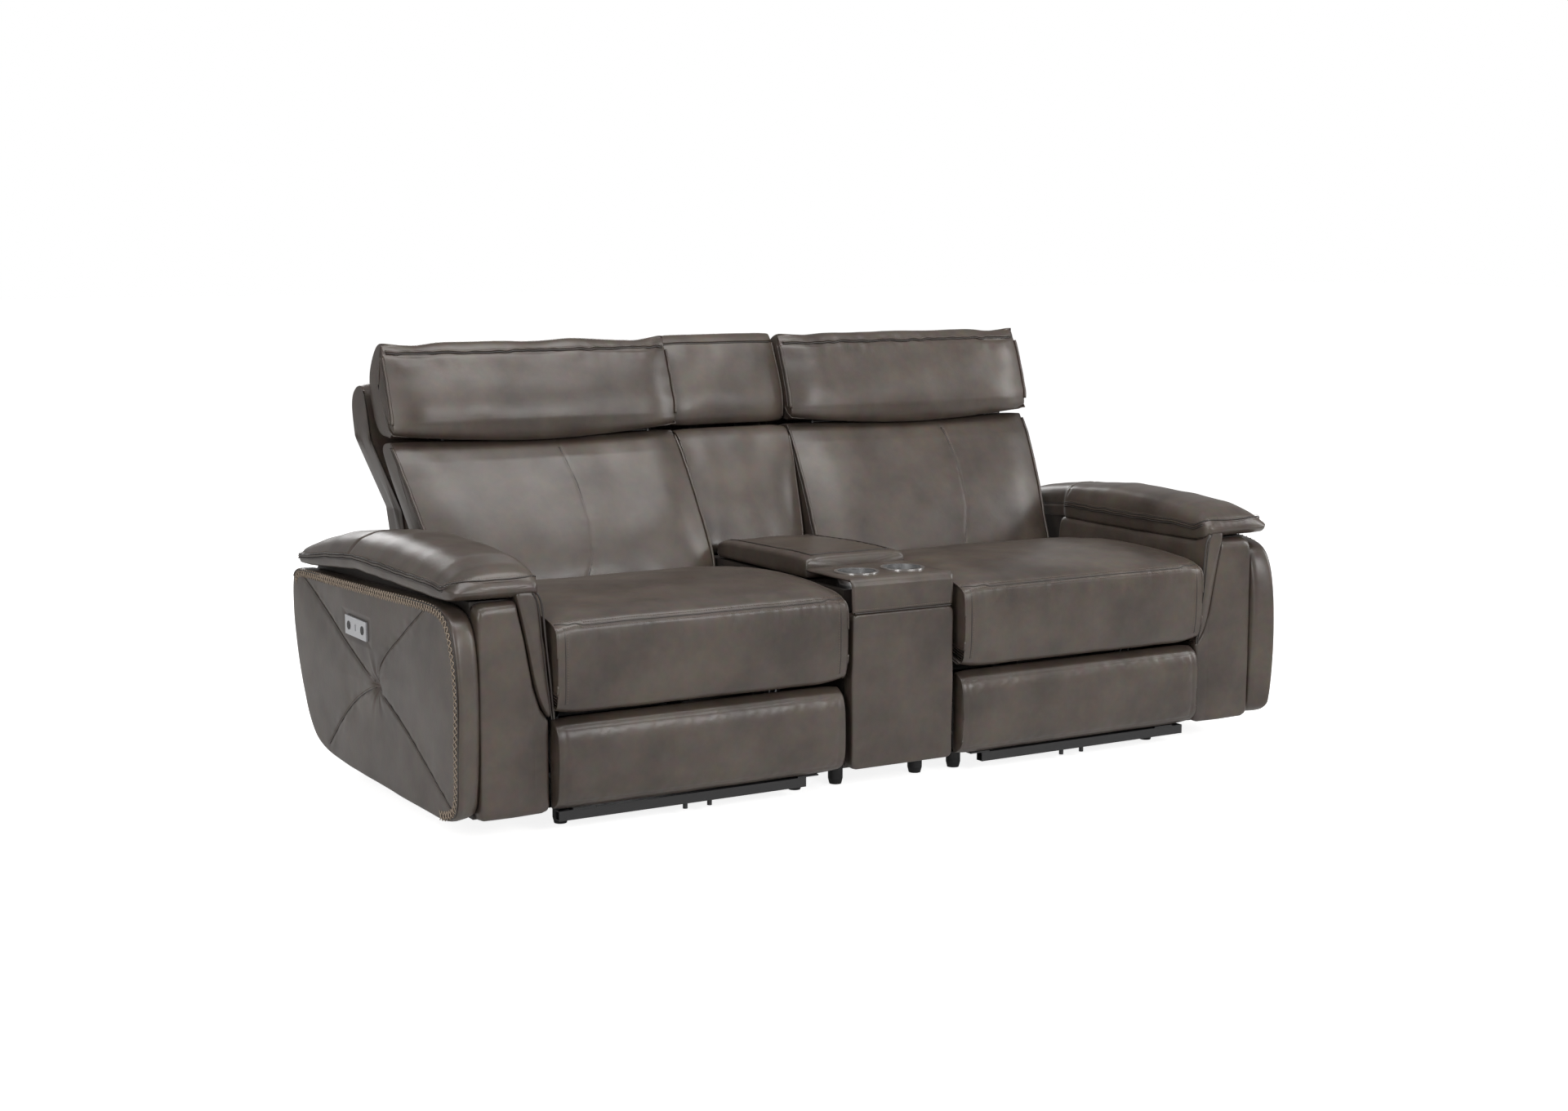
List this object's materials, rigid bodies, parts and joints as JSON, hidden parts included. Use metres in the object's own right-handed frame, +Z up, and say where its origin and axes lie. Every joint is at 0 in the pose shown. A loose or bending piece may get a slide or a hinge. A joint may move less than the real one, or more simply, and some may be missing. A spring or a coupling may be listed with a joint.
{
  "type": "power reclining loveseat with console",
  "caption": "Wide upholstered loveseat with reclining backs, swing-out footrests and tilting headrests either side of a storage console with cup wells.",
  "frame": {"origin": "on the floor, under the middle of the sofa's width and depth at rest", "axes": "+X to the right seen from the front, -Y the front, +Z up"},
  "size_m": [2.0404, 1.0141, 0.9325],
  "materials": {
    "leather": "semi-gloss, mottled",
    "dark_leather": "satin",
    "board": "covered with thin leather",
    "plywood": "bare",
    "steel": "satin black",
    "zinc": "zinc plated",
    "cup_steel": "brushed",
    "switch_silver": "satin silver",
    "plastic": "matt"
  },
  "bodies": {
    "sofa": {"feet": "plastic", "left_base_frame": "steel", "left_seat_frame": "steel", "left_seat_cushion": "leather", "left_footrest_motor": "plastic", "left_recline_motor": "plastic", "left_arm_frame": "board", "left_side_panel": "leather", "left_arm_front": "leather", "left_inner_arm_pad": "leather", "left_arm_pad": "leather", "left_switch_plate": "switch_silver", "left_rear_panel": "board", "right_base_frame": "steel", "right_seat_frame": "steel", "right_seat_cushion": "leather", "right_footrest_motor": "plastic", "right_recline_motor": "plastic", "right_arm_frame": "board", "right_side_panel": "leather", "right_arm_front": "leather", "right_inner_arm_pad": "leather", "right_arm_pad": "leather", "right_switch_plate": "switch_silver", "right_rear_panel": "board", "console_box": "plywood", "console_front": "leather", "console_deck": "leather", "cup_holders": "cup_steel", "console_back_frame": "plywood", "console_back_shell": "dark_leather", "console_back_cushion": "leather", "console_headrest": "leather"},
    "left_main": {"left_main_links": "zinc"},
    "left_rear": {"left_rear_links": "zinc"},
    "left_carrier": {"left_carrier_links": "zinc"},
    "left_upper": {"left_upper_links": "zinc"},
    "left_footrest": {"left_footrest_brackets": "steel", "left_footrest_pad": "leather"},
    "left_back": {"left_back_frame": "steel", "left_back_shell": "dark_leather", "left_back_cushion": "leather"},
    "left_headrest": {"left_headrest_bracket": "zinc", "left_headrest_cushion": "leather"},
    "left_recline_switch": {"left_recline_rocker": "plastic"},
    "left_headrest_switch": {"left_headrest_rocker": "plastic"},
    "right_main": {"right_main_links": "zinc"},
    "right_rear": {"right_rear_links": "zinc"},
    "right_carrier": {"right_carrier_links": "zinc"},
    "right_upper": {"right_upper_links": "zinc"},
    "right_footrest": {"right_footrest_brackets": "steel", "right_footrest_pad": "leather"},
    "right_back": {"right_back_frame": "steel", "right_back_shell": "dark_leather", "right_back_cushion": "leather"},
    "right_headrest": {"right_headrest_bracket": "zinc", "right_headrest_cushion": "leather"},
    "right_recline_switch": {"right_recline_rocker": "plastic"},
    "right_headrest_switch": {"right_headrest_rocker": "plastic"},
    "lid": {"console_lid": "leather"}
  },
  "joints": [
    {"name": "left_footrest_open", "type": "hinge", "parent": "sofa", "child": "left_main", "pos_m": [-0.476, -0.345, 0.242], "axis": [-1, 0, 0], "range_deg": [0, 100]},
    {"name": "left_rear_swing", "type": "hinge", "parent": "sofa", "child": "left_rear", "pos_m": [-0.476, -0.31062, 0.22156], "axis": [-1, 0, 0], "range_deg": [0, 100]},
    {"name": "left_carrier_swing", "type": "hinge", "parent": "left_main", "child": "left_carrier", "pos_m": [-0.476, -0.26977, 0.08068], "axis": [-1, 0, 0], "range_deg": [-100, 0]},
    {"name": "left_upper_swing", "type": "hinge", "parent": "left_main", "child": "left_upper", "pos_m": [-0.476, -0.28668, 0.11693], "axis": [-1, 0, 0], "range_deg": [-100, 0]},
    {"name": "left_footrest_turn", "type": "hinge", "parent": "left_carrier", "child": "left_footrest", "pos_m": [-0.476, -0.42, 0.17], "axis": [-1, 0, 0], "range_deg": [0, 100]},
    {"name": "left_recline", "type": "hinge", "parent": "sofa", "child": "left_back", "pos_m": [-0.476, 0.172, 0.32], "axis": [-1, 0, 0], "range_deg": [0, 30]},
    {"name": "left_headrest_tilt", "type": "hinge", "parent": "left_back", "child": "left_headrest", "pos_m": [-0.476, 0.256, 0.719], "axis": [1, 0, 0], "range_deg": [0, 25]},
    {"name": "left_recline_press", "type": "hinge", "parent": "sofa", "child": "left_recline_switch", "pos_m": [-1.0173, -0.012, 0.357], "axis": [0, 0, 1], "range_deg": [-5, 5], "stiffness_Nm_per_rad": 0.6},
    {"name": "left_headrest_press", "type": "hinge", "parent": "sofa", "child": "left_headrest_switch", "pos_m": [-1.0173, 0.068, 0.357], "axis": [0, 0, 1], "range_deg": [-5, 5], "stiffness_Nm_per_rad": 0.6},
    {"name": "right_footrest_open", "type": "hinge", "parent": "sofa", "child": "right_main", "pos_m": [0.476, -0.345, 0.242], "axis": [-1, 0, 0], "range_deg": [0, 100]},
    {"name": "right_rear_swing", "type": "hinge", "parent": "sofa", "child": "right_rear", "pos_m": [0.476, -0.31062, 0.22156], "axis": [-1, 0, 0], "range_deg": [0, 100]},
    {"name": "right_carrier_swing", "type": "hinge", "parent": "right_main", "child": "right_carrier", "pos_m": [0.476, -0.26977, 0.08068], "axis": [-1, 0, 0], "range_deg": [-100, 0]},
    {"name": "right_upper_swing", "type": "hinge", "parent": "right_main", "child": "right_upper", "pos_m": [0.476, -0.28668, 0.11693], "axis": [-1, 0, 0], "range_deg": [-100, 0]},
    {"name": "right_footrest_turn", "type": "hinge", "parent": "right_carrier", "child": "right_footrest", "pos_m": [0.476, -0.42, 0.17], "axis": [-1, 0, 0], "range_deg": [0, 100]},
    {"name": "right_recline", "type": "hinge", "parent": "sofa", "child": "right_back", "pos_m": [0.476, 0.172, 0.32], "axis": [-1, 0, 0], "range_deg": [0, 30]},
    {"name": "right_headrest_tilt", "type": "hinge", "parent": "right_back", "child": "right_headrest", "pos_m": [0.476, 0.256, 0.719], "axis": [1, 0, 0], "range_deg": [0, 25]},
    {"name": "right_recline_press", "type": "hinge", "parent": "sofa", "child": "right_recline_switch", "pos_m": [1.0173, -0.012, 0.357], "axis": [0, 0, 1], "range_deg": [-5, 5], "stiffness_Nm_per_rad": 0.6},
    {"name": "right_headrest_press", "type": "hinge", "parent": "sofa", "child": "right_headrest_switch", "pos_m": [1.0173, 0.068, 0.357], "axis": [0, 0, 1], "range_deg": [-5, 5], "stiffness_Nm_per_rad": 0.6},
    {"name": "lid_open", "type": "hinge", "parent": "sofa", "child": "lid", "pos_m": [0, 0.104, 0.446], "axis": [-1, 0, 0], "range_deg": [0, 75]}
  ],
  "couplings": [
    {"joint": "left_rear_swing", "follows": "left_footrest_open", "ratio": 1},
    {"joint": "left_carrier_swing", "follows": "left_footrest_open", "ratio": -1},
    {"joint": "left_upper_swing", "follows": "left_footrest_open", "ratio": -1},
    {"joint": "left_footrest_turn", "follows": "left_footrest_open", "ratio": 1},
    {"joint": "right_rear_swing", "follows": "right_footrest_open", "ratio": 1},
    {"joint": "right_carrier_swing", "follows": "right_footrest_open", "ratio": -1},
    {"joint": "right_upper_swing", "follows": "right_footrest_open", "ratio": -1},
    {"joint": "right_footrest_turn", "follows": "right_footrest_open", "ratio": 1}
  ]
}
